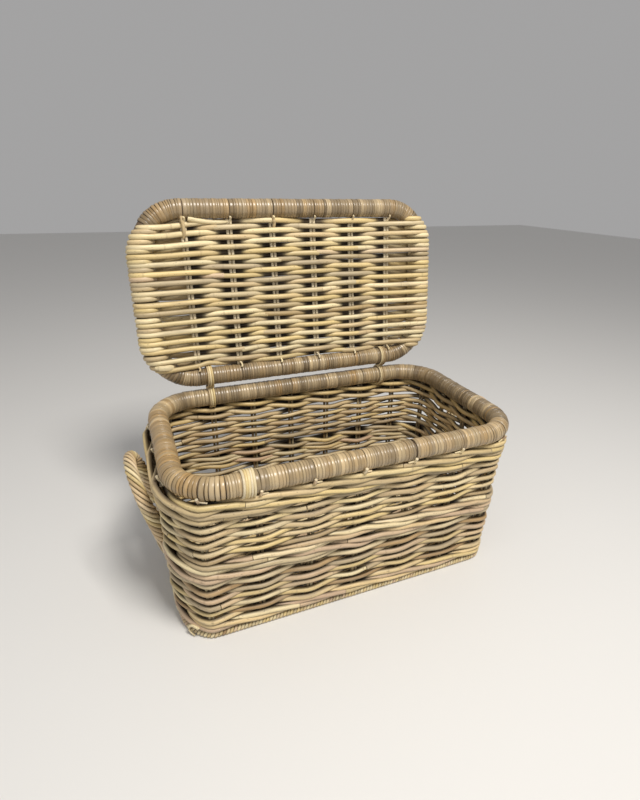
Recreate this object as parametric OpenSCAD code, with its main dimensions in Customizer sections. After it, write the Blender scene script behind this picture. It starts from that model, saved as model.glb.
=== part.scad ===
// Wicker storage trunk: a rounded rectangular basket with a wrapped rim, two rope handles
// and a flat woven lid that turns in two cane loops on the rear rim. The lid is drawn open.
// Millimetres, +Z up, origin on the ground under the middle of the basket, front towards -Y.

/* [Basket] */
// Length of the rim, centre to centre of its pole
rim_len = 530; // [500:5:560]
// Width of the rim, centre to centre of its pole
rim_wid = 290; // [270:5:310]
// Height of the rim's centre above the ground
rim_z = 257; // [240:1:280]
// Radius of the rim's corners, at the centre of its pole
corner_r = 65; // [55:1:75]
// Radius of the wall's corners just under the rim, at the middle of the wall
wall_corner_r = 50; // [44:1:54]
// How far the walls lean in from the rim to the ground, on each side
taper = 6; // [2:1:8]
// How far the left end of the wall bulges out past the place that mirrors the right end
left_bulge = 12; // [8:1:14]

/* [Canes] */
// Radius of the rim and lid rail with their wrapping
rail_r = 16; // [15:0.5:17]
// Radius of the bare pole inside the wrapping
pole_r = 13.5; // [12:0.5:14]
// Diameter of one weaving strand
strand_d = 8; // [7:0.5:8.5]
// Radius of one upright stake
stake_r = 2.4; // [2:0.1:2.8]
// Number of stake pairs round the basket, odd so that the weave alternates
stake_pairs = 21; // [17:2:25]
// Place along the front of the middle stake pair
stake_shift = -14; // [-30:1:30]

/* [Lid] */
// Length of the lid, centre to centre of its rails
lid_len = 513; // [490:1:520]
// Width of the lid, centre to centre of its rails
lid_wid = 276; // [262:1:282]
// Radius of the lid's corners, at the centre of its pole
lid_corner_r = 68; // [60:1:76]
// How far the open lid leans back from upright, in degrees
lid_lean = 7.8; // [4:0.1:12]
// Distance between neighbouring stake pairs in the lid
lid_stake_gap = 74; // [68:1:76]

/* [Hinge loops] */
// Height of the lid rail's centre above the rim's centre
hinge_rise = 39; // [38:0.5:42]
// Width of one hinge loop
loop_w = 11; // [9:1:13]
// Place of the left hinge loop along the rear rim
left_hinge_x = -168; // [-172:1:-164]
// Place of the right hinge loop along the rear rim
right_hinge_x = 172; // [166:1:174]

/* [Handles] */
// Distance between the two legs of a handle
handle_w = 108; // [100:1:120]
// Radius of a handle's rope
handle_r = 9; // [8:0.5:10]
// Height of the foot of a handle above the ground
handle_foot_z = 136; // [125:1:145]
// Height of the top of a handle's centre line above the ground
handle_top_z = 236; // [225:1:240]
// How far the top of a handle stands out from the middle of the rim pole
handle_out = 50; // [45:1:58]

/* [Hidden] */
$fn = 64;

// colours
c_strand = [0.78, 0.71, 0.56];
c_wale = [0.72, 0.64, 0.49];
c_stake = [0.70, 0.62, 0.46];
c_peel = [0.62, 0.54, 0.43];
c_pole = [0.55, 0.44, 0.30];
c_cane = [0.86, 0.80, 0.64];

// half sizes of the rectangle that joins the corner centres, of the rim and of the tighter wall
cx = rim_len / 2 - corner_r;
cy = rim_wid / 2 - corner_r;
wcx = (rim_len + left_bulge) / 2 - wall_corner_r;
wall_x = -left_bulge / 2;
wcy = rim_wid / 2 - wall_corner_r;
lid_cx = lid_len / 2 - lid_corner_r;
lid_cy = lid_wid / 2 - lid_corner_r;

// the wall: a stake in the middle, a strand in front of it and one behind it
wall_half = stake_r + strand_d;
wale_bulge = 3;
middle_bulge = 1.5;
wall_top_z = rim_z - rail_r;
foot_r = 5.5;
foot_z = 4.8;
foot_out = 1;
wall_foot_z = foot_z + foot_r + 0.2;
wale_z = 108;
wale_h = 30;
top_wale_z = 218;
top_wale_top = wall_top_z - 0.5;
stake_top_z = rim_z - rail_r - 4.3;
pair_half_gap = stake_r + 0.5;
stake_over = 5;

// the base: strands along the length over sticks that lie across it
base_h = 14;
base_stick_gap = 64;
base_sticks_each_way = 3;

// lid rail and hinge loops
lid_half_t = 9;
loop_arc = 38;
strand_loop_r = pole_r + strand_d;
hinge_y = rim_wid / 2 + 2;
hinge_z = rim_z + hinge_rise;
loop_t = 4;
run_gap = 0.35;
collar_h = 4.6;
end_peg_r = 2.2;
splice_x = -176;
splice_w = 19;

// Distance of the middle of the wall from the corner centres at height z
function wall_r(z) = wall_corner_r - taper * (wall_top_z - z) / (wall_top_z - wall_foot_z);

// A place s along the wall from the left end of the front: [x, y, angle of the outward normal]
corner_len = PI / 2 * (wall_corner_r - taper / 2);
quarter = wcx * 2 + corner_len;
lap = 2 * quarter + 4 * wcy + 2 * corner_len;
function corner_at(s, x, y, a0) = [x, y, a0 + 90 * s / corner_len];
function wall_at(s) =
    s < 0 ? wall_at(s + lap)
    : s > lap ? wall_at(s - lap)
    : s > lap / 2 ? half_turn(wall_at(s - lap / 2))
    : s < 2 * wcx ? [s - wcx, -wcy, -90]
    : s < quarter ? corner_at(s - 2 * wcx, wcx, -wcy, -90)
    : s < quarter + 2 * wcy ? [wcx, s - quarter - wcy, 0]
    : corner_at(s - quarter - 2 * wcy, wcx, wcy, 0);
function half_turn(w) = [-w[0], -w[1], w[2] + 180];

// The point on the wall at place s and height z, moved out by off
function wall_point(s, z, off = 0) =
    let (w = wall_at(s), r = wall_r(z) + off)
    [wall_x + w[0] + r * cos(w[2]), w[1] + r * sin(w[2]), z];

// They aren't quite evenly spaced: stake_sway gives how far along a pair stands from an even step,
// by the share of the way round from the middle of the front
stake_sway = [[0, 3], [1 / 7, 24], [8 / 21, -17], [13 / 21, -17], [18 / 21, 0], [1, 3]];
function stake_s(i) =
    wcx - wall_x + stake_shift + i * lap / stake_pairs + lookup(i / stake_pairs, stake_sway);

// The side that a stake pair stands on: 0 front, 1 right, 2 rear, 3 left
function side_of(i) = floor((wall_at(stake_s(i))[2] + 135) / 90) % 4;

// A straight round rod from p to q
module rod(p, q, r) {
    d = q - p;
    translate(p)
        rotate([0, acos(d[2] / norm(d)), atan2(d[1], d[0])])
            cylinder(h = norm(d), r = r);
}

// Sweeps the 2D child along the side of a rounded rectangle that faces +Y, and bend degrees
// into the corner at each end. x is the distance from the corner centres, y the height.
module side_run(hx, hy, bend) {
    translate([-hx, hy, 0])
        rotate([90, 0, 90])
            linear_extrude(2 * hx) children();
    for (m = [0, 1])
        mirror([m, 0, 0])
            translate([-hx, hy, 0])
                rotate(90)
                    rotate_extrude(angle = bend) children();
}

// Sweeps the 2D child all the way round a rounded rectangle
module ring_run(hx, hy) {
    for (half = [0, 180]) {
        rotate(half)
            side_run(hx, hy, 45) children();
        rotate(half + 90)
            side_run(hy, hx, 45) children();
    }
}

// The wall's section between two heights, out_in and out_out from its middle
module wall_section(z0, z1, out_in, out_out) {
    polygon([[wall_r(z0) + out_in, z0], [wall_r(z0) + out_out, z0],
        [wall_r(z1) + out_out, z1], [wall_r(z1) + out_in, z1]]);
}

// Sweeps the 2D child round the wall
module wall_ring() {
    translate([wall_x, 0, 0])
        ring_run(wcx, wcy) children();
}

// A band of weave; it is woven tight round the stakes, which stand inside it
module woven_band(z0, z1, bulge = 0) {
    wall_ring()
        wall_section(z0, z1, -wall_half, wall_half + bulge);
}

// The stake pairs on one side
module stakes(side, z0, z1) {
    for (i = [0:stake_pairs - 1])
        if (side_of(i) == side)
            for (t = [-1, 1]) {
                s = stake_s(i) + t * pair_half_gap;
                rod(wall_point(s, z0), wall_point(s, z1), stake_r);
            }
}

module rim_tube(r) {
    translate([0, 0, rim_z])
        ring_run(cx, cy)
            translate([corner_r, 0])
                circle(r);
}

// A peel sleeve round the rim pole, along the side whose half length is hx
module rim_sleeve(hx, hy, turn) {
    translate([0, 0, rim_z])
        rotate(turn)
            side_run(hx, hy, 45)
                translate([corner_r, 0])
                    difference() {
                        circle(rail_r);
                        circle(pole_r);
                    }
}

// The basket's own parts

// A lashed cane under the wall, worn flat where it stands on the ground
module foot_border() {
    r = wall_r(wall_foot_z) + foot_out;
    color(c_wale)
        wall_ring()
            intersection() {
                translate([r, foot_z])
                    circle(foot_r);
                translate([r - foot_r, 0])
                    square(2 * foot_r);
            }
}

module base_stick_set(margin) {
    half = wcy + wall_r(wall_foot_z) - wall_half;
    for (i = [-base_sticks_each_way:base_sticks_each_way], t = [-1, 1])
        translate([i * base_stick_gap + t * pair_half_gap, half + margin, base_h / 2])
            rotate([90, 0, 0])
                cylinder(h = 2 * (half + margin), r = stake_r);
}

module base_sticks() {
    color(c_stake)
        base_stick_set(0);
}

module base_weave() {
    r = wall_r(wall_foot_z) - wall_half;
    color(c_strand)
        difference() {
            translate([wall_x, 0, 0])
                linear_extrude(base_h)
                    union() {
                        square([2 * wcx, 2 * (wcy + r)], center = true);
                        square([2 * (wcx + r), 2 * wcy], center = true);
                        for (sx = [-1, 1], sy = [-1, 1])
                            translate([sx * wcx, sy * wcy])
                                circle(r);
                    }
            base_stick_set(stake_over);
        }
}

module lower_weave() {
    color(c_strand)
        woven_band(wall_foot_z, wale_z);
}

module middle_wale() {
    color(c_wale)
        woven_band(wale_z, wale_z + wale_h, middle_bulge);
}

module upper_weave() {
    color(c_strand)
        woven_band(wale_z + wale_h, top_wale_z);
}

module top_wale() {
    color(c_wale)
        difference() {
            woven_band(top_wale_z, top_wale_top, wale_bulge);
            for (x = [left_hinge_x, right_hinge_x])
                along_x(x, rim_wid / 2, rim_z, rail_r + loop_t, loop_w);
        }
}

module front_stakes() {
    color(c_stake)
        stakes(0, wall_foot_z, stake_top_z);
}

module right_stakes() {
    color(c_stake)
        stakes(1, wall_foot_z, stake_top_z);
}

module rear_stakes() {
    color(c_stake)
        stakes(2, wall_foot_z, stake_top_z);
}

module left_stakes() {
    color(c_stake)
        stakes(3, wall_foot_z, stake_top_z);
}

module rim_core() {
    color(c_pole)
        rim_tube(pole_r);
}

module front_rim_wrap() {
    color(c_peel)
        rim_sleeve(cx, cy, 180);
}

module right_rim_wrap() {
    color(c_peel)
        rim_sleeve(cy, cx, -90);
}

module rear_rim_wrap() {
    color(c_peel)
        rim_sleeve(cx, cy, 0);
}

module left_rim_wrap() {
    color(c_peel)
        rim_sleeve(cy, cx, 90);
}

// A few turns of pale cane round the front rim; they pass between the rim and the top wale
module rim_splice_binding() {
    color(c_cane)
        difference() {
            along_x(splice_x, -rim_wid / 2, rim_z, rail_r + 1.6, splice_w);
            along_x(splice_x, -rim_wid / 2, rim_z, rail_r, splice_w + 2);
            woven_band(top_wale_z, top_wale_top, wale_bulge);
        }
}

// Short ends of the stakes, hooked out under the rim beside each pair, clear of the hinge loops
module rim_stake_ends() {
    tilt = 28;
    peg = 7;
    reach = rail_r + end_peg_r + 0.1;
    r = corner_r + reach * cos(tilt);
    hinge_clear = loop_w / 2 + peg;
    splice_clear = (splice_w + peg) / 2 + 1;
    color(c_cane)
        for (i = [0:stake_pairs - 1]) {
            w = wall_point(stake_s(i), wall_top_z);
            hinge_gap = min(abs(w[0] - left_hinge_x), abs(w[0] - right_hinge_x));
            near_hinge = side_of(i) == 2 && hinge_gap < hinge_clear;
            near_splice = side_of(i) == 0 && abs(w[0] - splice_x) < splice_clear;
            centre = [min(max(w[0], -cx), cx), min(max(w[1], -cy), cy)];
            turn = atan2(w[1] - centre[1], w[0] - centre[0]);
            if (!near_hinge && !near_splice)
                translate([centre[0], centre[1], 0])
                    rotate(turn)
                        translate([r, 0, rim_z - reach * sin(tilt)])
                            rotate([90, 0, 0])
                                cylinder(h = peg, r = end_peg_r, center = true);
        }
}

// A cylinder along X, centred at x
module along_x(x, y, z, r, w) {
    translate([x - w / 2, y, z])
        rotate([0, 90, 0])
            cylinder(h = w, r = r);
}

// The handle on one end, end = 1 for +X and -1 for -X: two legs and a half circle in a plane that
// leans out from the wall. The legs run on into the wall until it has swallowed them.
module handle(end) {
    foot_x = wcx + end * wall_x + wall_r(handle_foot_z) + wall_half;
    out = rim_len / 2 + handle_out - foot_x;
    rise = handle_top_z - handle_foot_z;
    lean = atan2(out, rise);
    leg = norm([out, rise]) - handle_w / 2;
    sunk = handle_r / tan(lean) + 1;
    color(c_wale)
        difference() {
            rotate(90 - 90 * end)
                translate([foot_x, 0, handle_foot_z])
                    rotate([0, lean, 0]) {
                        for (t = [-1, 1])
                            translate([0, t * handle_w / 2, -sunk])
                                cylinder(h = leg + sunk, r = handle_r);
                        translate([0, 0, leg])
                            rotate([90, 0, 90])
                                rotate_extrude(angle = 180)
                                    translate([handle_w / 2, 0])
                                        circle(handle_r);
                    }
            woven_band(wall_foot_z, top_wale_z);
            woven_band(wale_z, wale_z + wale_h, middle_bulge);
        }
}

module left_handle() {
    handle(-1);
}

module right_handle() {
    handle(1);
}

// A figure of eight of cane: one turn grips the rim, the other leaves the lid rail free to turn
module hinge_loop(x) {
    difference() {
        union() {
            along_x(x, rim_wid / 2, rim_z, rail_r + loop_t, loop_w);
            along_x(x, hinge_y, hinge_z, rail_r + run_gap + loop_t, loop_w);
        }
        along_x(x, rim_wid / 2, rim_z, rail_r, loop_w + 2);
        along_x(x, hinge_y, hinge_z, rail_r + run_gap, loop_w + 2);
    }
}

// The turn of cane that draws the figure of eight in between the rim and the lid rail
module hinge_collar(x) {
    w = loop_w + 5;
    d = 17;
    r = 2;
    color(c_cane)
        difference() {
            translate([x, (rim_wid / 2 + hinge_y) / 2, rim_z + rail_r + 1.2])
                linear_extrude(collar_h)
                    union() {
                        square([w - 2 * r, d], center = true);
                        square([w, d - 2 * r], center = true);
                        for (sx = [-1, 1], sy = [-1, 1])
                            translate([sx * (w / 2 - r), sy * (d / 2 - r)])
                                circle(r);
                    }
            along_x(x, rim_wid / 2, rim_z, rail_r + loop_t, loop_w);
            along_x(x, hinge_y, hinge_z, rail_r + run_gap + loop_t, loop_w);
        }
}

module left_hinge_loop() {
    color(c_cane)
        hinge_loop(left_hinge_x);
}

module right_hinge_loop() {
    color(c_cane)
        hinge_loop(right_hinge_x);
}

module left_hinge_collar() {
    hinge_collar(left_hinge_x);
}

module right_hinge_collar() {
    hinge_collar(right_hinge_x);
}

// The lid's parts, drawn flat with the hinge rail on the X axis, then stood open.
// +Y runs to the free edge and +Z is the inner face.

module open_lid() {
    translate([0, hinge_y, hinge_z])
        rotate([90 - lid_lean, 0, 0])
            children();
}

module lid_tube(r) {
    translate([0, lid_wid / 2, 0])
        ring_run(lid_cx, lid_cy)
            translate([lid_corner_r, 0])
                circle(r);
}

module lid_sleeve(hx, hy, turn, bend, r) {
    translate([0, lid_wid / 2, 0])
        rotate(turn)
            side_run(hx, hy, bend)
                translate([lid_corner_r, 0])
                    difference() {
                        circle(r);
                        circle(pole_r);
                    }
}

module lid_stake_set(margin) {
    for (i = [-2.5:2.5], t = [-1, 1])
        translate([i * lid_stake_gap + t * pair_half_gap, rail_r - margin, 0])
            rotate([-90, 0, 0])
                cylinder(h = lid_wid - 2 * rail_r + 2 * margin, r = stake_r);
}

module lid_core() {
    color(c_pole)
        open_lid()
            lid_tube(pole_r);
}

module lid_front_wrap() {
    color(c_peel)
        open_lid()
            lid_sleeve(lid_cx, lid_cy, 0, 90 - loop_arc, rail_r);
}

module lid_rear_wrap() {
    color(c_peel)
        open_lid()
            lid_sleeve(lid_cx, lid_cy, 180, 90 - loop_arc, rail_r);
}

module lid_left_loops() {
    color(c_strand)
        open_lid()
            lid_sleeve(lid_cy, lid_cx, 90, loop_arc, strand_loop_r);
}

module lid_right_loops() {
    color(c_strand)
        open_lid()
            lid_sleeve(lid_cy, lid_cx, -90, loop_arc, strand_loop_r);
}

// The woven panel fills the frame: up to the long rails, up to the strand loops at the ends,
// and notched to leave the hinge loops free
module lid_weave() {
    end_r = lid_corner_r - strand_loop_r;
    notch = rail_r + loop_t + 1.3;
    color(c_strand)
        open_lid()
            difference() {
                translate([0, 0, -lid_half_t])
                    linear_extrude(2 * lid_half_t)
                        difference() {
                            translate([0, lid_wid / 2])
                                union() {
                                    square([2 * lid_cx, lid_wid - 2 * rail_r], center = true);
                                    square([2 * (lid_cx + end_r), 2 * lid_cy], center = true);
                                    for (sx = [-1, 1], sy = [-1, 1])
                                        translate([sx * lid_cx, sy * lid_cy])
                                            circle(end_r);
                                }
                            for (x = [left_hinge_x, right_hinge_x])
                                translate([x - loop_w / 2 - 1.2, 0])
                                    square([loop_w + 2.4, notch]);
                        }
                lid_stake_set(stake_over);
            }
}

module lid_stakes() {
    color(c_stake)
        open_lid()
            lid_stake_set(-0.05);
}

// Hooked ends of the lid's stakes, on the inner face beside the two long rails
module lid_stake_ends() {
    peg = 11;
    color(c_cane)
        open_lid()
            for (i = [-2.5:2.5], y = [rail_r - 2, lid_wid - rail_r + 2 - peg])
                translate([i * lid_stake_gap, y, lid_half_t + end_peg_r + 0.05])
                    rotate([-90, 0, 0])
                        cylinder(h = peg, r = end_peg_r);
}

foot_border();
base_sticks();
base_weave();
lower_weave();
middle_wale();
upper_weave();
top_wale();
front_stakes();
right_stakes();
rear_stakes();
left_stakes();
rim_core();
front_rim_wrap();
right_rim_wrap();
rear_rim_wrap();
left_rim_wrap();
rim_splice_binding();
rim_stake_ends();
left_handle();
right_handle();
left_hinge_loop();
right_hinge_loop();
left_hinge_collar();
right_hinge_collar();
lid_core();
lid_front_wrap();
lid_rear_wrap();
lid_left_loops();
lid_right_loops();
lid_weave();
lid_stakes();
lid_stake_ends();
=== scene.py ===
"""Wicker storage trunk: strands, peel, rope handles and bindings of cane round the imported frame."""

import math

import bpy
import numpy as np
from mathutils import Matrix, Vector


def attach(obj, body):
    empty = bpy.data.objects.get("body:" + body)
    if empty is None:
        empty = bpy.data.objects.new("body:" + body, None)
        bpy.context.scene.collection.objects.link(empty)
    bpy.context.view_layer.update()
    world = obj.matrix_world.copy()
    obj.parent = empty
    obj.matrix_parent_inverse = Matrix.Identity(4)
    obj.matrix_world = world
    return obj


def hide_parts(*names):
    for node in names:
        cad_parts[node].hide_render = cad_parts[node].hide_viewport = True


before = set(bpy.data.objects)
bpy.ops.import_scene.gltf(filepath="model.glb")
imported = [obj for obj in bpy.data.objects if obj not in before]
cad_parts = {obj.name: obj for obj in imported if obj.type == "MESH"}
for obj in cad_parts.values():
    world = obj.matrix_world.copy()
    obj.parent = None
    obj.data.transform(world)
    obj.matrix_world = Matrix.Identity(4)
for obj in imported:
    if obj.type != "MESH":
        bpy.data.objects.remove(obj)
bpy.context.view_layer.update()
MM = 0.001
PI = math.pi
UP = np.array([0.0, 0.0, 1.0])

# ---- the part's own measures, in millimetres ----
# rim: half the length of its straights along x and y, corner radius, height, radii of rail and pole
CX, CY, CORNER = 200.0, 80.0, 65.0
RIM_Z, RAIL_R, POLE_R = 257.0, 16.0, 13.5
RAIL_Y = CY + CORNER
SPLICE_X = -176.0

# wall: the same for its own ring, whose middle lies at WALL_X; it narrows by TAPER towards its foot
WCX, WCY, WALL_CORNER, WALL_X = 221.0, 95.0, 50.0, -6.0
TAPER, WALL_TOP, WALL_FOOT = 6.0, 241.0, 10.5
LEFT_BOW = 1.8
CORNER_LEN = PI / 2 * (WALL_CORNER - TAPER / 2)
LAP = 4 * WCX + 4 * WCY + 4 * CORNER_LEN

# stakes stand in pairs; SWAY moves a pair from even spacing (share of the lap passed, millimetres)
STAKE_R, PAIRS, SHIFT, PAIR_GAP = 2.4, 21, -14.0, 2.9
PAIR = LAP / PAIRS
FIRST_PAIR = -3
SWAY = ([0, 1 / 7, 8 / 21, 13 / 21, 18 / 21, 1], [3, 24, -17, -17, 0, 3])

# rows of the front wall part by HOLE_RISE round one small hole
HOLE_X, HOLE_Z, HOLE_WIDE, HOLE_TALL, HOLE_RISE = -5.0, 123.0, 20, 14, 4.0

# plain weave: lengths and radii of strands, how far past a pair they end, and half the gap at a join
STRAND_LENGTH, STRAND_R, PAST_PAIR, JOIN, SHORTEST = (900, 1900), (3.55, 4.7), (9, 24), 0.6, 200

# wales: the same for rods, how far a rod climbs over its round, and how deep it tucks in behind a pair
ROD_LENGTH, ROD_R, WALE_TALL, WALE_TUCK = (330, 620), (4.1, 4.6), 4.1, -6.0

# peel: usual width of a turn, and the slit left for a stake's end where it is widest
PEEL_TURN, WIDE_GAP = 4.75, 1.3
SPLICE_CANE, SPLICE_GAP = 1.95, 3.8  # radius and spacing of the turns over the splice
KNOT_ANGLE = -28  # how far below level the stakes' ends come out from under the rim, in degrees

# foot: the border's middle height, radii of core, canes and their helix, length of a turn, points in one
FOOT_R, FOOT_CORE, FOOT_CANE, FOOT_HELIX, FOOT_LAY, FOOT_STEPS = 5.3, 2.6, 2.5, 2.7, 11.0, 14
FOOT_OUT = 2.6
CURL_WIDE, CURL_TALL, CURL_Z, CURL_OUT = 12.0, 9.4, 11.8, 11.5

# base: pitch and radius of its strands, how far they swing over the sticks, and the sticks' spacing
BASE_PITCH, BASE_STRAND_R, BASE_SWING, BASE_Z, STICK_GAP, BASE_REACH = 8.0, 3.9, 4.4, 7, 64, 34.0

# handles: width, rope radius, heights of foot and top, reach past the rim, length sunk in the wall
HANDLE_W, HANDLE_R, HANDLE_FOOT_Z, HANDLE_TOP_Z, HANDLE_OUT, HANDLE_SUNK = 108.0, 9.0, 136.0, 236.0, 50.0, 4.0
# rope: length of a turn, number of strands, and the length and depth that it swells by at its roots
ROPE_LAY, ROPE_STRANDS, ROOT, ROOT_SWELL = 72.0, 7, 95.0, 3.2

# lid: the rail's ring, the width from the hinge, the lean, the spacing of its stake pairs, and the
# degrees of each corner of the rail that the strands' loops cover
LID_CX, LID_CY, LID_CORNER, LID_WID = 188.5, 70.0, 68.0, 276.0
LID_MID = LID_WID / 2
LID_LEAN, LID_GAP, LOOP_ARC = 7.8, 74.0, 38.0
LID_PAIRS = [(i - 2.5) * LID_GAP for i in range(6)]
HINGE_Y, HINGE_Z, HINGE_X = 147.0, 296.0, (-168.0, 172.0)
HINGE_CANE, HINGE_CLEAR, TIE_CANE = 1.8, 0.35, 1.05
# lid rows: number, heights, radii of strands, and how far they have sagged, slipped and drooped
ROWS, ROW_LOW, ROW_HIGH, ROW_R, ROW_R_AFTER = 31, 20.6, 255.6, (3.95, 4.35), (3.8, 4.4)
ROW_SAG, ROW_SLIP, ROW_DROOP = 1.7, 2.6, 6.5
ROW_PITCH = (ROW_HIGH - ROW_LOW) / (ROWS - 1)


def srgb(r, g, b):
    c = np.array([r, g, b], float) / 255
    return np.where(c <= 0.04045, c / 12.92, ((c + 0.055) / 1.055) ** 2.4)


CREAM, STRAW, BEIGE = srgb(239, 223, 180), srgb(227, 204, 146), srgb(215, 193, 149)
GREY, PINK, BROWN = srgb(187, 170, 137), srgb(215, 187, 157), srgb(168, 138, 96)
PEEL_CREAM, PEEL_TAN, PEEL_GREY = srgb(208, 187, 148), srgb(172, 147, 108), srgb(146, 128, 100)
PEEL_DARK, PITH, OCHRE = srgb(106, 90, 66), srgb(232, 218, 186), srgb(170, 136, 84)
STRANDS = (CREAM, STRAW, BEIGE, GREY, PINK, BROWN)
PEELS = np.array((PEEL_CREAM, PEEL_TAN, PEEL_GREY, PEEL_DARK, OCHRE))
WALL_MIX = (3, 2.6, 4, 2.6, 2.4, 1.2)
LID_MIX = (6, 4, 4, 1.4, 1.4, 0.7)
WALE_MIX = (2, 6, 3, 0.6, 1, 0.2)
FOOT_MIX = (6, 4, 3, 1, 1.5, 0.3)
PAINTED_CORE_SHADE = BEIGE * 0.12  # painted shade: the near-black core seen between the strands of a rope or the canes of the foot
# painted shade, near black, in the weave's crevices
CREVICE_SHADE = np.array([0.03, 0.02, 0.013])
# the inner side's tint: partly painted shade, partly greyer age
INNER_AGE_AND_SHADE = np.array([0.90, 0.86, 0.80])
# how much painted shade darkens a strand's underside
UNDERSIDE_SHADE = 0.6


# ---- numbers ----
def smooth(x, low, high):
    t = np.clip((x - low) / (high - low), 0, 1)
    return t * t * (3 - 2 * t)


def unit(v):
    return v / np.maximum(np.linalg.norm(v, axis=-1, keepdims=True), 1e-9)


def wander(rng, s, size, step):
    """Smooth random values along s."""
    knots = np.arange(s[0] - step, s[-1] + 2 * step, step)
    return np.interp(s, knots, rng.normal(0, size, len(knots)))


def smooth_knots(x, at, value):
    """Periodic cubic through the knots, with no overshoot at its turns."""
    slope = np.diff(value) / np.diff(at)
    before, after = np.append(slope[-1], slope), np.append(slope, slope[0])
    same = before * after > 0
    d = np.where(same, 2 * before * after / np.where(same, before + after, 1), 0)
    i = np.clip(np.searchsorted(at, x, side="right") - 1, 0, len(at) - 2)
    h = at[i + 1] - at[i]
    t = (x - at[i]) / h
    return ((2 * t**3 - 3 * t**2 + 1) * value[i] + (t**3 - 2 * t**2 + t) * h * d[i]
            + (-2 * t**3 + 3 * t**2) * value[i + 1] + (t**3 - t**2) * h * d[i + 1])


def relax(path, times=2):
    """Evens out the bends of a strand without moving its ends."""
    for _ in range(times):
        path = path.copy()
        path[1:-1] = path[1:-1] * 0.5 + (path[:-2] + path[2:]) * 0.25
    return path


# ---- colours of cane ----
def pick(rng, choices, weights, spread=0.13):
    """One colour from the palette, a little lighter or darker and blended towards another."""
    w = np.asarray(weights, float) / sum(weights)
    a, b = rng.choice(len(choices), 2, p=w)
    t = rng.uniform(0, 0.45)
    return (choices[a] * (1 - t) + choices[b] * t) * rng.uniform(1 - spread, 1 + spread)


def strand_colour(rng, mix):
    return pick(rng, STRANDS, mix)


def woven_shade(base, ang, depth, radius, shade_depths, inner_age_and_shade, under):
    """A strand's colour by ring and side, with shade painted in. depth is how far its middle lies out from
    the middle
    of the weave: a face that points outward from behind the stakes gets painted shade, near black, between
    the two depths that follow, and so do the top and bottom lines where rows touch. The last two arguments
    are how much darker and greyer the inner side is, partly painted shade and partly greyer age, and how much
    painted shade darkens the side that lies on the row below."""
    out = np.sin(ang)
    # painted shade: near black in the crevices behind the stakes and along the lines where rows touch
    unshaded = 1 - smooth(-depth[:, None] * (np.clip(1.5 * out, -1, 1) + 0.3), *shade_depths)[..., None]
    unshaded = unshaded * (0.15 + 0.85 * smooth(abs(out), 0.02, 0.6))[:, None]
    # the inner side darker and greyer: partly painted shade, partly greyer age
    inner = smooth(-depth[:, None] - radius[:, None] * out, -2, 6)[..., None] * inner_age_and_shade
    base = base * (unshaded + (1 - unshaded) * CREVICE_SHADE)
    # painted shade on the side that lies on the row below
    base = base * (1 - under * smooth(-np.cos(ang), 0.1, 0.9))[:, None]
    return base * (1 - inner * (1 - INNER_AGE_AND_SHADE))


def groove_shade(sides, groove):
    """How bright each side of a rope's strand is: painted shade darkens the sides that touch the next strand.
    """
    ang = np.linspace(0, 2 * PI, sides, endpoint=False)
    return 1 - groove * (1 - smooth(np.cos(ang), -0.2, 0.8))


# ---- meshes of cane: every point knows its place along and round its own strand, and its colour ----
def ring_quads(rings, sides):
    """Faces between neighbouring rings of points, each ring closed."""
    i, j = np.meshgrid(np.arange(rings - 1), np.arange(sides), indexing="ij")
    k = (j + 1) % sides
    quads = np.stack([i * sides + j, i * sides + k, (i + 1) * sides + k, (i + 1) * sides + j], -1)
    return quads.reshape(-1, 4)


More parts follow.
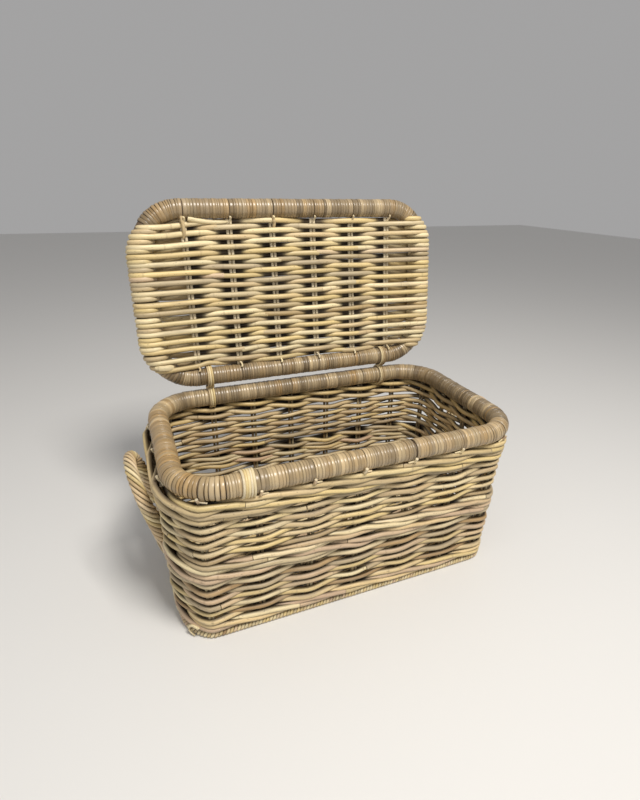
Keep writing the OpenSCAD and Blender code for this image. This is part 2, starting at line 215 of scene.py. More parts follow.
class Bundle:
    def __init__(self, seed):
        self.rng = np.random.default_rng(seed)
        self.co, self.cane, self.base, self.quads = [], [], [], []
        self.count = 0

    def add(self, co, cane, base, quads):
        self.co.append(co)
        self.cane.append(cane)
        self.base.append(base)
        self.quads.append(quads + self.count)
        self.count += len(co)

    def rings(self, co, cane, base):
        """Joins rings of points. co and cane are rings x sides x 3, and base spreads to the same."""
        quads = ring_quads(*co.shape[:2])
        base = np.broadcast_to(base, co.shape).reshape(-1, 3)
        self.add(co.reshape(-1, 3), cane.reshape(-1, 3), base, quads)

    def tube(self, path, radius, base, ref=(0, 0, 1), sides=8, flat=1.0, caps=True, depth=None,
             shade_depths=(0.8, 4.2), inner_age_and_shade=0.0, under=0.0, groove=0.0):
        """A strand along path. ref gives the direction that flat thins it in; a cut end shows its pith.
        With depth, shade is painted on it as on a woven strand (see woven_shade). With groove, shade is
        painted on it as on one of a rope's strands, and then ref points away from the rope's middle."""
        path = np.asarray(path, float)
        n = len(path)
        radius = np.broadcast_to(np.asarray(radius, float), (n,))
        t = unit(np.gradient(path, axis=0))
        ref = np.broadcast_to(np.asarray(ref, float), (n, 3))
        a = unit(ref - (ref * t).sum(1, keepdims=True) * t)
        b = np.cross(t, a)
        ang = np.linspace(0, 2 * PI, sides, endpoint=False)
        ca, sa = np.cos(ang) * flat, np.sin(ang)
        around = ca[None, :, None] * a[:, None] + sa[None, :, None] * b[:, None]
        co = path[:, None] + radius[:, None, None] * around
        along = np.concatenate([[0], np.cumsum(np.linalg.norm(np.diff(path, axis=0), axis=1))])
        shift = self.rng.uniform(0, 900, 3)
        cane = np.empty(co.shape)
        cane[..., 0] = along[:, None] + shift[0]
        cane[..., 1:] = np.stack([ca, sa], -1) * radius.mean() + shift[1:]
        if depth is not None:
            base = woven_shade(base, ang, depth, radius, shade_depths, inner_age_and_shade, under)
        if groove:
            base = groove_shade(sides, groove)[:, None] * base
        self.rings(co, cane, base)
        if caps:
            for end, sign in ((0, -1), (-1, 1)):
                self.cap(co[end], path[end] + t[end] * sign * radius[end] * 0.12, sign)

    def cap(self, ring, tip, sign):
        """The cut end: a pale disc, slightly proud in the middle."""
        sides = len(ring)
        inner = tip + (ring - tip) * 0.7
        co = np.concatenate([ring, inner + (tip - inner) * 0.3, tip[None]])
        j = np.arange(sides)
        k = (j + 1) % sides
        rim = np.stack([j, k, k + sides, j + sides], -1)
        e = np.arange(0, sides, 2)
        middle = np.full(len(e), 2 * sides)
        disc = np.stack([middle, e + sides, (e + 1) % sides + sides, (e + 2) % sides + sides], -1)
        quads = np.concatenate([rim, disc])
        if sign < 0:
            quads = quads[:, ::-1]
        shift = self.rng.uniform(0, 900, 3)
        edge, face = np.tile(PITH * 0.75, (sides, 1)), np.tile(PITH, (sides + 1, 1))
        base = np.concatenate([edge, face]) * self.rng.uniform(0.75, 1.0)
        self.add(co, (co - tip) * 0.4 + shift, base, quads)

    def build(self, name, body, slot, material, *nodes, lift=None):
        """Makes the piece, which stands for the given CAD nodes and rides on their body."""
        co = np.concatenate(self.co)
        if lift is not None:
            co = lift(co)
        quads = np.concatenate(self.quads).astype(np.int32)
        mesh = bpy.data.meshes.new(name)
        mesh.vertices.add(len(co))
        mesh.vertices.foreach_set("co", (co * MM).astype(np.float32).ravel())
        mesh.loops.add(quads.size)
        mesh.loops.foreach_set("vertex_index", quads.ravel())
        mesh.polygons.add(len(quads))
        mesh.polygons.foreach_set("loop_start", np.arange(0, quads.size, 4, dtype=np.int32))
        mesh.polygons.foreach_set("use_smooth", np.ones(len(quads), bool))
        for key, rows in (("cane", self.cane), ("base", self.base)):
            layer = mesh.attributes.new(key, "FLOAT_VECTOR", "POINT")
            layer.data.foreach_set("vector", np.concatenate(rows).astype(np.float32).ravel())
        mesh.update(calc_edges=True)
        mesh.validate()
        mesh.materials.append(material)
        piece = bpy.data.objects.new(name, mesh)
        bpy.context.scene.collection.objects.link(piece)
        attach(piece, body)
        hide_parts(*nodes)


# ---- rings: places along the wall, the rim, the lid's rail and the foot ----
def ring_place(t, hx, hy, arc):
    """Corner centre or point of the straight, and outward angle, t mm from the left end of the front."""
    t = np.mod(t, 4 * hx + 4 * hy + 4 * arc)
    x, y, a = np.zeros_like(t), np.zeros_like(t), np.zeros_like(t)
    start = 0.0
    for length, p, q, a0, bend in (
            (2 * hx, (-hx, -hy), (hx, -hy), -90, 0), (arc, (hx, -hy), (hx, -hy), -90, 90),
            (2 * hy, (hx, -hy), (hx, hy), 0, 0), (arc, (hx, hy), (hx, hy), 0, 90),
            (2 * hx, (hx, hy), (-hx, hy), 90, 0), (arc, (-hx, hy), (-hx, hy), 90, 90),
            (2 * hy, (-hx, hy), (-hx, -hy), 180, 0), (arc, (-hx, -hy), (-hx, -hy), 180, 90)):
        here = (t >= start) & (t <= start + length)
        k = (t[here] - start) / length
        x[here], y[here] = p[0] + (q[0] - p[0]) * k, p[1] + (q[1] - p[1]) * k
        a[here] = np.radians(a0 + bend * k)
        start += length
    return x, y, a


def ring_at(t, hx, hy, r):
    """Point at r from the corner centres, and outward direction, t mm from the left end of the front."""
    x, y, a = ring_place(np.asarray(t, float), hx, hy, PI / 2 * r)
    out = np.stack([np.cos(a), np.sin(a), np.zeros_like(a)], -1)
    return np.stack([x, y, np.zeros_like(x)], -1) + r * out, out


# ---- the wall's weave ----
def wall_r(z):
    return WALL_CORNER - TAPER * (WALL_TOP - z) / (WALL_TOP - WALL_FOOT)


def stake_s(i):
    """Place of stake pair i along the wall; the pairs aren't quite evenly spaced."""
    return WCX - WALL_X + SHIFT + i * PAIR + float(np.interp((i % PAIRS) / PAIRS, *SWAY))


PAIR_S = np.array([stake_s(i) for i in range(FIRST_PAIR, PAIRS + FIRST_PAIR)])
KNOT_S = np.concatenate([PAIR_S - LAP, PAIR_S, PAIR_S + LAP, PAIR_S + 2 * LAP])
KNOT_I = np.arange(len(KNOT_S)) - PAIRS + float(FIRST_PAIR)


def phase_at(s):
    """The number of stake pairs passed at place s."""
    lap = np.floor(s / LAP)
    return np.interp(s - lap * LAP, KNOT_S, KNOT_I) + lap * PAIRS


def place_of(pair, lap):
    """Where the stake pair of that number stands, in that lap: phase_at turned round."""
    return np.interp(pair - lap * PAIRS, KNOT_I, KNOT_S) + lap * LAP


def wall_point(s, z, off, cut=0.5):
    """Strands go from pair to pair straighter than the wall's own curve, and the left end bows out."""
    s = np.asarray(s, float)
    z = np.broadcast_to(np.asarray(z, float), s.shape)
    r = wall_r(z)

    def curve(t):
        x, y, a = ring_place(t, WCX, WCY, CORNER_LEN)
        return np.stack([x + r * np.cos(a), y + r * np.sin(a)], -1), a

    here, a = curve(s)
    place = np.mod(s, LAP)
    k = np.clip(np.searchsorted(KNOT_S, place) - 1, 0, len(KNOT_S) - 2)
    t = ((place - KNOT_S[k]) / (KNOT_S[k + 1] - KNOT_S[k]))[:, None]
    chord = (1 - t) * curve(KNOT_S[k])[0] + t * curve(KNOT_S[k + 1])[0]
    out = np.stack([np.cos(a), np.sin(a)], -1)
    here = here + cut * (chord - here) + np.broadcast_to(off, s.shape)[:, None] * out
    bow = LEFT_BOW * np.maximum(0, -out[:, 0]) ** 1.5 * smooth(z, 5, 60)
    return np.stack([here[:, 0] + WALL_X - bow, here[:, 1], z], -1)


def ripple(s, z):
    """How far neighbouring rows rise and fall together, so that the weave isn't ruled with a straightedge."""
    u = 2 * PI * s / LAP
    wave = (0.9 * np.sin(3 * u + z / 31 + 0.6) + 0.8 * np.sin(7 * u - z / 23 + 2.1)
            + 0.7 * np.sin(17 * u + z / 11 + 4.0) + 0.5 * np.sin(29 * u - z / 7 + 1.0))
    x = np.mod(s, LAP) - WCX + WALL_X
    near = np.exp(-((x - HOLE_X) / HOLE_WIDE) ** 2 - abs(z - HOLE_Z) / HOLE_TALL)
    return wave + HOLE_RISE * np.tanh((z - HOLE_Z) / 3) * near


def swing(c):
    """A strand's swing from one side of the stakes to the other."""
    return c * (0.72 + 0.28 * c * c)


def plain_weave(bundle, z0, rows, pitch, start):
    """One long spiral of strands, over a stake pair and under the next, joined end to end. It begins at
    height z0 and place start, and climbs by pitch in each of its rows."""
    rng = bundle.rng
    end, s = rows * LAP, 0.0
    while s < end:
        stop = min(s + rng.uniform(*STRAND_LENGTH), end)
        if stop < end:
            pair = round(float(phase_at(start + stop)))
            near = place_of(pair, math.floor((start + stop) / LAP))
            stop = near + rng.uniform(*PAST_PAIR) * rng.choice((-1, 1)) - start
        if end - stop < SHORTEST:
            stop = end
        n = max(8, int((stop - s) / (PAIR / 12)))
        u = np.linspace(s, stop - JOIN, n)
        radius = rng.uniform(*STRAND_R)
        z = z0 + pitch * u / LAP
        z = z + ripple(u + start, z) + wander(rng, u, 0.8, 60) + rng.normal(0, 0.4)
        gain = STAKE_R + radius - 0.9 + wander(rng, u, 0.5, PAIR)
        off = gain * swing(np.cos(PI * phase_at(u + start)))
        thick = radius * (1 + wander(rng, u, 0.04, 80))
        path = wall_point(u + start, z, off)
        # woven_shade paints shade in the crevices, on the underside and, with greyer age, on the inner side
        bundle.tube(path, thick, strand_colour(rng, WALL_MIX), depth=off, inner_age_and_shade=1.0, under=UNDERSIDE_SHADE)
        s = stop + JOIN


def wale(bundle, z0, out, mix, phase0=0, radius=ROD_R, wave=1.0):
    """One round of three rods: each goes in front of two stake pairs and behind one. out is how far the
    front ones stand out, phase0 shifts the pattern by pairs, wave is its share of the wall's ripple."""
    rng = bundle.rng
    # knots of the pattern: first front pair, second front pair, behind, and back again
    at = np.array([0, 0.5, 1, 1.5, 2, 2.5, 3])
    side = np.array([out, out + 0.8, out, 2.5, WALE_TUCK, 1.0, out])
    rise = np.array([WALE_TALL, 0.3, -WALE_TALL, -WALE_TALL * 0.8, -1.0, 2.5, WALE_TALL])
    for rod in range(3):
        start = rng.uniform(0, LAP)
        cuts = np.sort(np.concatenate([[0], np.cumsum(rng.uniform(*ROD_LENGTH, 2)), [LAP]]))
        for a, b in zip(cuts[:-1], cuts[1:]):
            u = np.linspace(a, b - 1.0, max(10, int((b - a) / 6)))
            s = u + start
            phase = np.mod(phase_at(s) + rod + phase0, 3)
            off, dz = smooth_knots(phase, at, side), smooth_knots(phase, at, rise)
            r = rng.uniform(*radius)
            z = z0 + dz + wander(rng, u, 0.4, 70)
            z = z + ripple(s, z) * wave
            path = wall_point(s, z, off + wander(rng, u, 0.2, 70))
            # woven_shade paints shade in the crevices, on the underside and, with greyer age, on the inner
            # side
            bundle.tube(path, r, strand_colour(rng, mix), depth=off, inner_age_and_shade=1.0, under=UNDERSIDE_SHADE)


# ---- materials ----
GRAIN_TINT, TONE_TINT, STAIN_TINT = (0.50, 0.40, 0.26), (0.50, 0.38, 0.24), (0.33, 0.27, 0.19)
SPECK_TINT, KNUCKLE_TINT, KNUCKLE_STEP = (0.10, 0.07, 0.045), (0.16, 0.11, 0.07), 260


def node(tree, kind, **inputs):
    """A shader node with its settings and inputs; _0 is the first input, and _ in a name is a space."""
    n = tree.nodes.new(kind)
    for key, value in inputs.items():
        if hasattr(n, key) and not isinstance(value, bpy.types.NodeSocket) and key not in n.inputs:
            setattr(n, key, value)
            continue
        socket = n.inputs[int(key[1:])] if key[0] == "_" else n.inputs[key.replace("_", " ")]
        if isinstance(value, bpy.types.NodeSocket):
            tree.links.new(value, socket)
        else:
            socket.default_value = value
    return n


def maths(tree, operation, a, b):
    return node(tree, "ShaderNodeMath", operation=operation, _0=a, _1=b).outputs[0]


def ramp(tree, value, low, high, a, b):
    """value from low..high spread to a..b, held at its ends."""
    n = node(tree, "ShaderNodeMapRange", Value=value)
    for key, v in (("From Min", low), ("From Max", high), ("To Min", a), ("To Max", b)):
        n.inputs[key].default_value = v
    return n.outputs[0]


def noise(tree, vector, scale, detail, rough=0.5):
    """Noise over vector, stretched by the three numbers of scale."""
    v = node(tree, "ShaderNodeVectorMath", operation="MULTIPLY", _0=vector, _1=scale).outputs[0]
    return node(tree, "ShaderNodeTexNoise", Vector=v, Scale=1.0, Detail=detail, Roughness=rough).outputs[0]


def tinted(tree, factor, colour, tint, way="MIX"):
    """colour changed towards tint where factor is high."""
    n = tree.nodes.new("ShaderNodeMix")
    n.data_type, n.blend_type = "RGBA", way
    tree.links.new(factor, n.inputs[0])
    tree.links.new(colour, n.inputs[6])
    n.inputs[7].default_value = (*tint, 1)
    return n.outputs[2]


def strand_vectors(tree):
    """Place on the strand, and colour, as the mesh gives them."""
    cane = node(tree, "ShaderNodeAttribute", attribute_name="cane").outputs["Vector"]
    base = node(tree, "ShaderNodeAttribute", attribute_name="base").outputs["Vector"]
    return cane, base


def rod_vectors(tree, colour):
    """The same for a CAD rod, whose grain runs along its own height."""
    where = node(tree, "ShaderNodeTexCoord").outputs["Object"]
    cane = node(tree, "ShaderNodeMapping", Vector=where, Rotation=(0, PI / 2, 0), Scale=(1000, 1000, 1000))
    base = node(tree, "ShaderNodeCombineXYZ", _0=colour[0], _1=colour[1], _2=colour[2])
    return cane.outputs[0], base.outputs[0]


def cane_material(name, rough, streak=0.45, stain=0.5, speck=0.55, knuckle=True, depth=0.25, colour=None,
                  coat=0.0):
    """Rattan: grain along the strand, grey and brown stains, dark specks and the rings of its knuckles."""
    mat = bpy.data.materials.new(name)
    mat.use_nodes = True
    tree = mat.node_tree
    tree.nodes.clear()
    cane, base = strand_vectors(tree) if colour is None else rod_vectors(tree, colour)
    grain = noise(tree, cane, (0.035, 1.5, 1.5), 3.0, 0.6)
    patch = noise(tree, cane, (0.018, 0.10, 0.10), 2.0)
    tone = noise(tree, cane, (0.006, 0.02, 0.02), 1.0)
    dots = noise(tree, cane, (0.20, 0.50, 0.50), 2.0, 0.65)
    c = tinted(tree, ramp(tree, grain, 0.3, 0.7, 0.0, streak), base, GRAIN_TINT, "MULTIPLY")
    c = tinted(tree, ramp(tree, tone, 0.5, 0.8, 0.0, 0.3), c, TONE_TINT)
    c = tinted(tree, ramp(tree, patch, 0.50, 0.74, 0.0, stain), c, STAIN_TINT)
    c = tinted(tree, ramp(tree, dots, 0.63, 0.71, 0.0, speck), c, SPECK_TINT)
    height = maths(tree, "MULTIPLY", grain, 0.5)
    if knuckle:
        along = node(tree, "ShaderNodeSeparateXYZ", Vector=cane).outputs[0]
        w = maths(tree, "MULTIPLY", along, 1 / KNUCKLE_STEP)
        ring = node(tree, "ShaderNodeTexVoronoi", voronoi_dimensions="1D", W=w, Scale=1.0).outputs["Distance"]
        line = ramp(tree, ring, 0.002, 0.008, 1.0, 0.0)
        c = tinted(tree, maths(tree, "MULTIPLY", line, 0.22), c, KNUCKLE_TINT)
        height = maths(tree, "ADD", height, ramp(tree, ring, 0.0, 0.02, 0.3, 0.0))
    bump = node(tree, "ShaderNodeBump", Strength=depth, Distance=0.0006, Height=height).outputs[0]
    gloss = ramp(tree, patch, 0.3, 0.75, *rough)
    bsdf = node(tree, "ShaderNodeBsdfPrincipled", Roughness=gloss, Normal=bump)
    tree.links.new(c, bsdf.inputs["Base Color"])
    bsdf.inputs["Specular IOR Level"].default_value = 0.45
    if coat:
        bsdf.inputs["Coat Weight"].default_value = coat
        bsdf.inputs["Coat Roughness"].default_value = 0.3
    out = tree.nodes.new("ShaderNodeOutputMaterial")
    tree.links.new(bsdf.outputs[0], out.inputs[0])
    return mat


MAT_STRAND = cane_material("strand_cane", (0.42, 0.62))
MAT_WALE = cane_material("wale_cane", (0.38, 0.55), stain=0.25)
MAT_PEEL = cane_material("rim_peel_cane", (0.26, 0.45), streak=0.35, stain=0.3, speck=0.25, knuckle=False,
                         depth=0.35, coat=0.35)
MAT_BIND = cane_material("binding_cane_pale", (0.35, 0.5), stain=0.2, speck=0.2, knuckle=False)
MAT_ROPE = cane_material("rope_cane", (0.42, 0.6), stain=0.35)
MAT_STAKE = cane_material("stake_stick", (0.5, 0.65), colour=srgb(248, 234, 202))
MAT_POLE = cane_material("pole_wood", (0.6, 0.75), colour=srgb(88, 68, 48), knuckle=False)
for name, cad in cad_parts.items():
    cad.data.materials.clear()
    cad.data.materials.append(MAT_POLE if name.endswith("_core") else MAT_STAKE)


# ---- basket: weave and stakes ----
def build_weave():
    """The four bands of the wall, from the ground up to the rim."""
    rear = 2 * WCX + 2 * CORNER_LEN + 2 * WCY + 300  # where the spirals begin, out of sight
    lower = Bundle(11)
    wale(lower, 20.3, 5.0, WALL_MIX, phase0=1, radius=(4.2, 4.6), wave=0.4)
    plain_weave(lower, 28.3, 11.0, 7.3, rear)
    lower.build("lower_weave_strands", "basket", "weave_strand", MAT_STRAND, "lower_weave")
    upper = Bundle(23)
    plain_weave(upper, 141.4, 9.6, 7.2, rear)
    upper.build("upper_weave_strands", "basket", "weave_strand", MAT_STRAND, "upper_weave")
    middle = Bundle(31)
    wale(middle, 116.5, 6.9, WALL_MIX)
    wale(middle, 133.0, 6.9, WALL_MIX, phase0=1)
    plain_weave(middle, 125.0, 1.0, 0.6, rear)
    middle.build("middle_wale_strands", "basket", "wale_strand", MAT_WALE, "middle_wale")
    top = Bundle(41)
    wale(top, 219.0, 7.6, WALE_MIX, radius=(4.3, 4.8), wave=0.7)
    wale(top, 234.0, 9.0, WALE_MIX, phase0=2, radius=(4.4, 4.8), wave=0.4)
    top.build("top_wale_strands", "basket", "wale_strand", MAT_WALE, "top_wale")


def wall_side(i):
    """Which side of the basket stake pair i stands on."""
    facing = math.degrees(ring_place(np.array([stake_s(i)]), WCX, WCY, CORNER_LEN)[2][0])
    return ("front", "right", "rear", "left")[int((facing + 135) // 90) % 4]


def build_stakes():
    """Pairs of upright sticks, with painted shade: darker than the strands that hide them."""
    for seed, side in ((15, "front"), (16, "right"), (17, "rear"), (18, "left")):
        sticks = Bundle(seed)
        rng = sticks.rng
        for i in range(PAIRS):
            if wall_side(i) != side:
                continue
            for way in (-1, 1):
                z = np.linspace(8, 238, 26)
                place = stake_s(i) + way * PAIR_GAP + wander(rng, z, 0.3, 60)
                path = wall_point(place, z, wander(rng, z, 0.25, 60), cut=0)
                # painted shade: the stakes are darkened where the strands hide them
                shaded = 0.62 * pick(rng, (BEIGE, BROWN, CREAM), (3, 2, 2))
                sticks.tube(path, STAKE_R, shaded, ref=(1, 0.3, 0))
        sticks.build(f"{side}_stake_rods", "basket", "stake", MAT_STRAND, f"{side}_stakes")


build_weave()
build_stakes()

# ---- rim: peel round the pole, turn by turn ----
RIM = (CX, CY, CORNER)
RIM_ARC = PI / 2 * CORNER


def peel_turn(bundle, at, out, width, colour, tilt):
    """One turn of flat peel round a pole: at is its middle, out the direction away from the ring."""
    rng = bundle.rng
    along = np.cross(UP, out)
    v = np.array([-0.5, -0.47, -0.25, 0.0, 0.25, 0.47, 0.5])
    h = np.array([-1.1, -0.34, -0.07, 0.0, -0.07, -0.34, -1.1])
    # painted shade in the seams between neighbouring turns
    seam_shade = np.array([1, 0.45, 0, 0, 0, 0.45, 1])
    ang = np.linspace(0, 2 * PI, 26, endpoint=False) + rng.uniform(0, 0.2)
    radial = np.cos(ang)[:, None] * out + np.sin(ang)[:, None] * UP
    wob = 1 + rng.normal(0, 0.05)
    r = RAIL_R - rng.uniform(0, 0.7) + h
    base = colour * (1 - rng.uniform(0.1, 0.75) * seam_shade)[:, None, None]
    co = (at + radial[None] * r[:, None, None] + along * (v * width * wob)[:, None, None]
          + along * (tilt * np.sin(ang))[None, :, None])
    shift = rng.uniform(0, 900, 3)
    cane = np.empty(co.shape)
    cane[..., 0] = ang * RAIL_R + shift[0]
    cane[..., 1] = (v * width)[:, None] + shift[1]
    cane[..., 2] = shift[2]
    bundle.rings(co, cane, base)


def peel_colours(rng, count, weights):
    """Turn by turn, as short lengths of peel of much the same colour follow each other."""
    mean = (PEELS * (np.asarray(weights, float) / sum(weights))[:, None]).sum(0)
    colours = []
    while len(colours) < count:
        band = 0.4 * mean + 0.6 * pick(rng, PEELS, weights)
        for _ in range(rng.integers(1, 5)):
            colours.append(band * rng.uniform(0.74, 1.18))
    return colours[:count]


def peel_run(bundle, t0, t1, ring, weights, slits, z=0.0):
    """Turns of peel from t0 to t1 along a ring; each slit leaves room for a stake's end."""
    rng = bundle.rng
    edges = [t0, *sorted(s for s in slits if t0 + 6 < s < t1 - 6), t1]
    gap = np.concatenate([[0], rng.uniform(0.0, 0.3, len(edges) - 2), [0]])
    gap[[abs(e - WIDE_SLIT) < 1 for e in edges]] = WIDE_GAP
    for i, (a, b) in enumerate(zip(edges[:-1], edges[1:])):
        a, b = a + gap[i], b - gap[i + 1]
        count = max(1, round((b - a) / PEEL_TURN))
        widths = rng.uniform(0.62, 1.38, count)
        widths = widths * (b - a) / widths.sum()
        starts = a + np.cumsum(widths) - widths
        for k, colour in enumerate(peel_colours(rng, count, weights)):
            at, out = ring_at([starts[k] + widths[k] / 2], *ring)
            edge = min(k, count - 1 - k)
            lean = rng.normal(0, 0.12) + (0.35 if edge == 0 else 0) * (1 if k == 0 else -1)
            peel_turn(bundle, at[0] + np.array([0, 0, z]), out[0], widths[k] * 1.04, colour, lean)


def rim_place(s):
    """The rim's own arc length next to place s of the wall."""
    p = wall_point([s], WALL_TOP, 0, cut=0)[0]
    t = np.linspace(0, 4 * CX + 4 * CY + 4 * RIM_ARC, 4000)
    at, _ = ring_at(t, *RIM)
    return float(t[np.argmin(np.hypot(at[:, 0] - p[0], at[:, 1] - p[1]))])


RIM_SLITS = [rim_place(stake_s(i)) for i in range(PAIRS)]
WIDE_SLIT = RIM_SLITS[1]


def build_rim():
    """Four runs of peel that meet in the middle of the corners."""
    quarter = RIM_ARC / 2
    ends = np.cumsum([-quarter, 2 * CX + RIM_ARC, 2 * CY + RIM_ARC, 2 * CX + RIM_ARC, 2 * CY + RIM_ARC])
    lap = ends[-1] - ends[0]
    slits = sorted(s + turn * lap for s in RIM_SLITS for turn in (-1, 0, 1))
    mixes = ((5, 4, 2.5, 0.6, 1.4), (0.8, 1.2, 4, 6, 0.2), (3.5, 3, 4.5, 2, 0.4), (2.2, 3.6, 0.6, 0.9, 6.5))
    for k, side in enumerate(("front", "right", "rear", "left")):
        wrap = Bundle(51 + k)
        peel_run(wrap, ends[k], ends[k + 1], RIM, mixes[k], slits, z=RIM_Z)
        wrap.build(f"{side}_rim_peel", "basket", "rim_peel", MAT_PEEL, f"{side}_rim_wrap")


def build_splice():
    """Pale cane over the splice of the front rim."""
    splice = Bundle(55)
    ang = np.linspace(0, 2 * PI, 40)
    r = RAIL_R + 1.3
    for k in range(5):
        x = SPLICE_X + (k - 2) * SPLICE_GAP + 1.2 * np.sin(ang + 0.4 * k)
        path = np.stack([x, r * np.cos(ang) - RAIL_Y, r * np.sin(ang) + RIM_Z], -1)
        colour = pick(splice.rng, (CREAM, PITH, STRAW), (4, 3, 1))
        splice.tube(path, SPLICE_CANE, colour, ref=(1, 0, 0), caps=False)
    splice.build("rim_splice_cane", "basket", "binding_cane", MAT_BIND, "rim_splice_binding")


def knot(bundle, at, out):
    """A stake's end, bent out under the rim, with a short tail to one side."""
    rng = bundle.rng
    side = np.cross(UP, out)

    def spot(x, degrees, r):
        """x along the rim, at an angle round it and r from its centre."""
        a = math.radians(degrees)
        return at + UP * RIM_Z + side * x + r * (math.cos(a) * out + math.sin(a) * UP)

    lean, size = rng.uniform(-1.2, 1.2), rng.uniform(0.85, 1.15)
    bent = np.linspace(KNOT_ANGLE - 40, KNOT_ANGLE + rng.uniform(8, 16), 9)
    stub = np.array([spot(lean * k / 8, a, RAIL_R + 1.9) for k, a in enumerate(bent)])
    bundle.tube(stub, 2.3 * size, pick(rng, (CREAM, PITH, PINK), (3, 2, 2)), sides=10)
    way = rng.choice((-1, 1))
    run = np.linspace(0, 1, 7)
    tail = np.array([spot(way * (1.5 + 9 * k), KNOT_ANGLE - 16 - 9 * k, RAIL_R + 1.6) for k in run])
    bundle.tube(tail, 1.5 * size, pick(rng, (CREAM, PITH, PINK), (3, 3, 1)))


def build_knots():
    knots = Bundle(61)
    for t in RIM_SLITS:
        at, out = (v[0] for v in ring_at([t], *RIM))
        under_hinge = out[1] > 0.99 and min(abs(at[0] - x) for x in HINGE_X) < 12
        if not under_hinge:
            knot(knots, at, out)
    knots.build("rim_stake_knots", "basket", "binding_cane", MAT_BIND, "rim_stake_ends")


build_rim()
build_splice()
build_knots()


# ---- foot border: two canes laid round a core, and a loose end that curls out of the front left corner ----
def foot_line(n):
    """n places along the border, its middle there and the outward directions."""
    s = np.linspace(0, LAP, n)
    a = ring_place(s, WCX, WCY, CORNER_LEN)[2]
    return s, wall_point(s, FOOT_R, FOOT_OUT, cut=0.3), np.stack([np.cos(a), np.sin(a), np.zeros_like(a)], -1)


def build_foot():
    """The border, whose canes change colour from turn to turn, and the curl."""
    foot = Bundle(71)
    # painted shade: a near-black core that shows between the canes
    foot.tube(foot_line(400)[1], FOOT_CORE, PAINTED_CORE_SHADE, caps=False)
    turns = round(LAP / FOOT_LAY)
    s, centre, out = foot_line(turns * FOOT_STEPS + 1)
    for k in range(2):
        ang = 2 * PI * (turns * s / LAP + k / 2)
        radial = np.cos(ang)[:, None] * out + np.sin(ang)[:, None] * UP
        foot.tube(centre + FOOT_HELIX * radial, FOOT_CANE, BEIGE, ref=radial, flat=0.9, caps=False)
        hues = np.array([pick(foot.rng, STRANDS, FOOT_MIX) for _ in range(turns + 1)])
        by_ring = hues[np.arange(len(s)) // FOOT_STEPS]
        # painted shade darkens the sides of each cane that touch its neighbours
        foot.base[-1] = (by_ring[:, None] * groove_shade(8, 0.75)[:, None]).reshape(-1, 3)
    middle, ahead = wall_point([-35.5, -32.5], CURL_Z, CURL_OUT)
    a = np.linspace(-0.2 * PI, 0.95 * PI, 26)[:, None]
    curl = middle - CURL_WIDE * np.sin(a) * unit(ahead - middle) + CURL_TALL * UP * np.cos(a)
    foot.tube(curl, np.linspace(2.3, 1.4, 26), CREAM)
    foot.build("foot_border_lashing", "basket", "wale_strand", MAT_WALE, "foot_border")


def build_base():
    """Flattened strands, each over one pair of base sticks and under the next."""
    base = Bundle(81)
    for row, y in enumerate(np.arange(-120.0, 121.0, BASE_PITCH)):
        over = max(0.0, abs(y) - WCY)
        half = WCX + math.sqrt(max(BASE_REACH**2 - over**2, 1.0))
        x = np.linspace(WALL_X - half, WALL_X + half, 120)
        z = BASE_Z + BASE_SWING * np.cos(PI * x / STICK_GAP + PI * row)
        path = np.stack([x, np.full_like(x, y) + wander(base.rng, x, 0.3, 60), z], -1)
        base.tube(path, BASE_STRAND_R, strand_colour(base.rng, WALL_MIX), flat=0.55)
    base.build("base_weave_strands", "basket", "weave_strand", MAT_STRAND, "base_weave")


build_foot()
build_base()


# ---- handles: seven strands laid into a rope, which splay where they run on down the wall ----
def handle_path(end):
    """The rope's centre line, from one foot over the top to the other, and the length along it."""
    foot_x = WCX + end * WALL_X + wall_r(HANDLE_FOOT_Z) + STAKE_R + 8
    axis = np.array([CX + CORNER + HANDLE_OUT - foot_x, 0, HANDLE_TOP_Z - HANDLE_FOOT_Z])
    rise = np.linalg.norm(axis)
    axis = axis / rise
    r = HANDLE_W / 2
    leg = rise - r
    straight = leg + HANDLE_SUNK
    total = 2 * straight + PI * r
    d = np.linspace(0, total, 170)
    bend = np.clip((d - straight) / r, 0, PI)
    going_down = np.where(d > total - straight, total - d - HANDLE_SUNK, leg + r * np.sin(bend))
    up = np.where(d < straight, d - HANDLE_SUNK, going_down)
    p = np.array([foot_x, 0, HANDLE_FOOT_Z]) + up[:, None] * axis - (r * np.cos(bend))[:, None] * [0, 1.0, 0]
    p[:, 0] *= end
    return p, d


def rope_tail(rng, start, go, end):
    """From start and in direction go, a strand bends down on the wall's face and dives between its rows."""
    drop = rng.uniform(14, 34)
    side = 1 if start[1] > 0 else -1
    goal = np.array([0, start[1] + side * rng.uniform(2, 22), start[2] - drop])
    goal[0] = end * (WCX + end * WALL_X + wall_r(goal[2]) + STAKE_R + 4.5)
    lead = goal + np.array([end * 5.5, -side * 4, drop * 0.45])
    b = np.linspace(0, 1, 14)[1:, None]
    return ((1 - b) ** 3 * start + 3 * (1 - b) ** 2 * b * (start + go * drop * 0.4)
            + 3 * (1 - b) * b * b * lead + b**3 * goal)


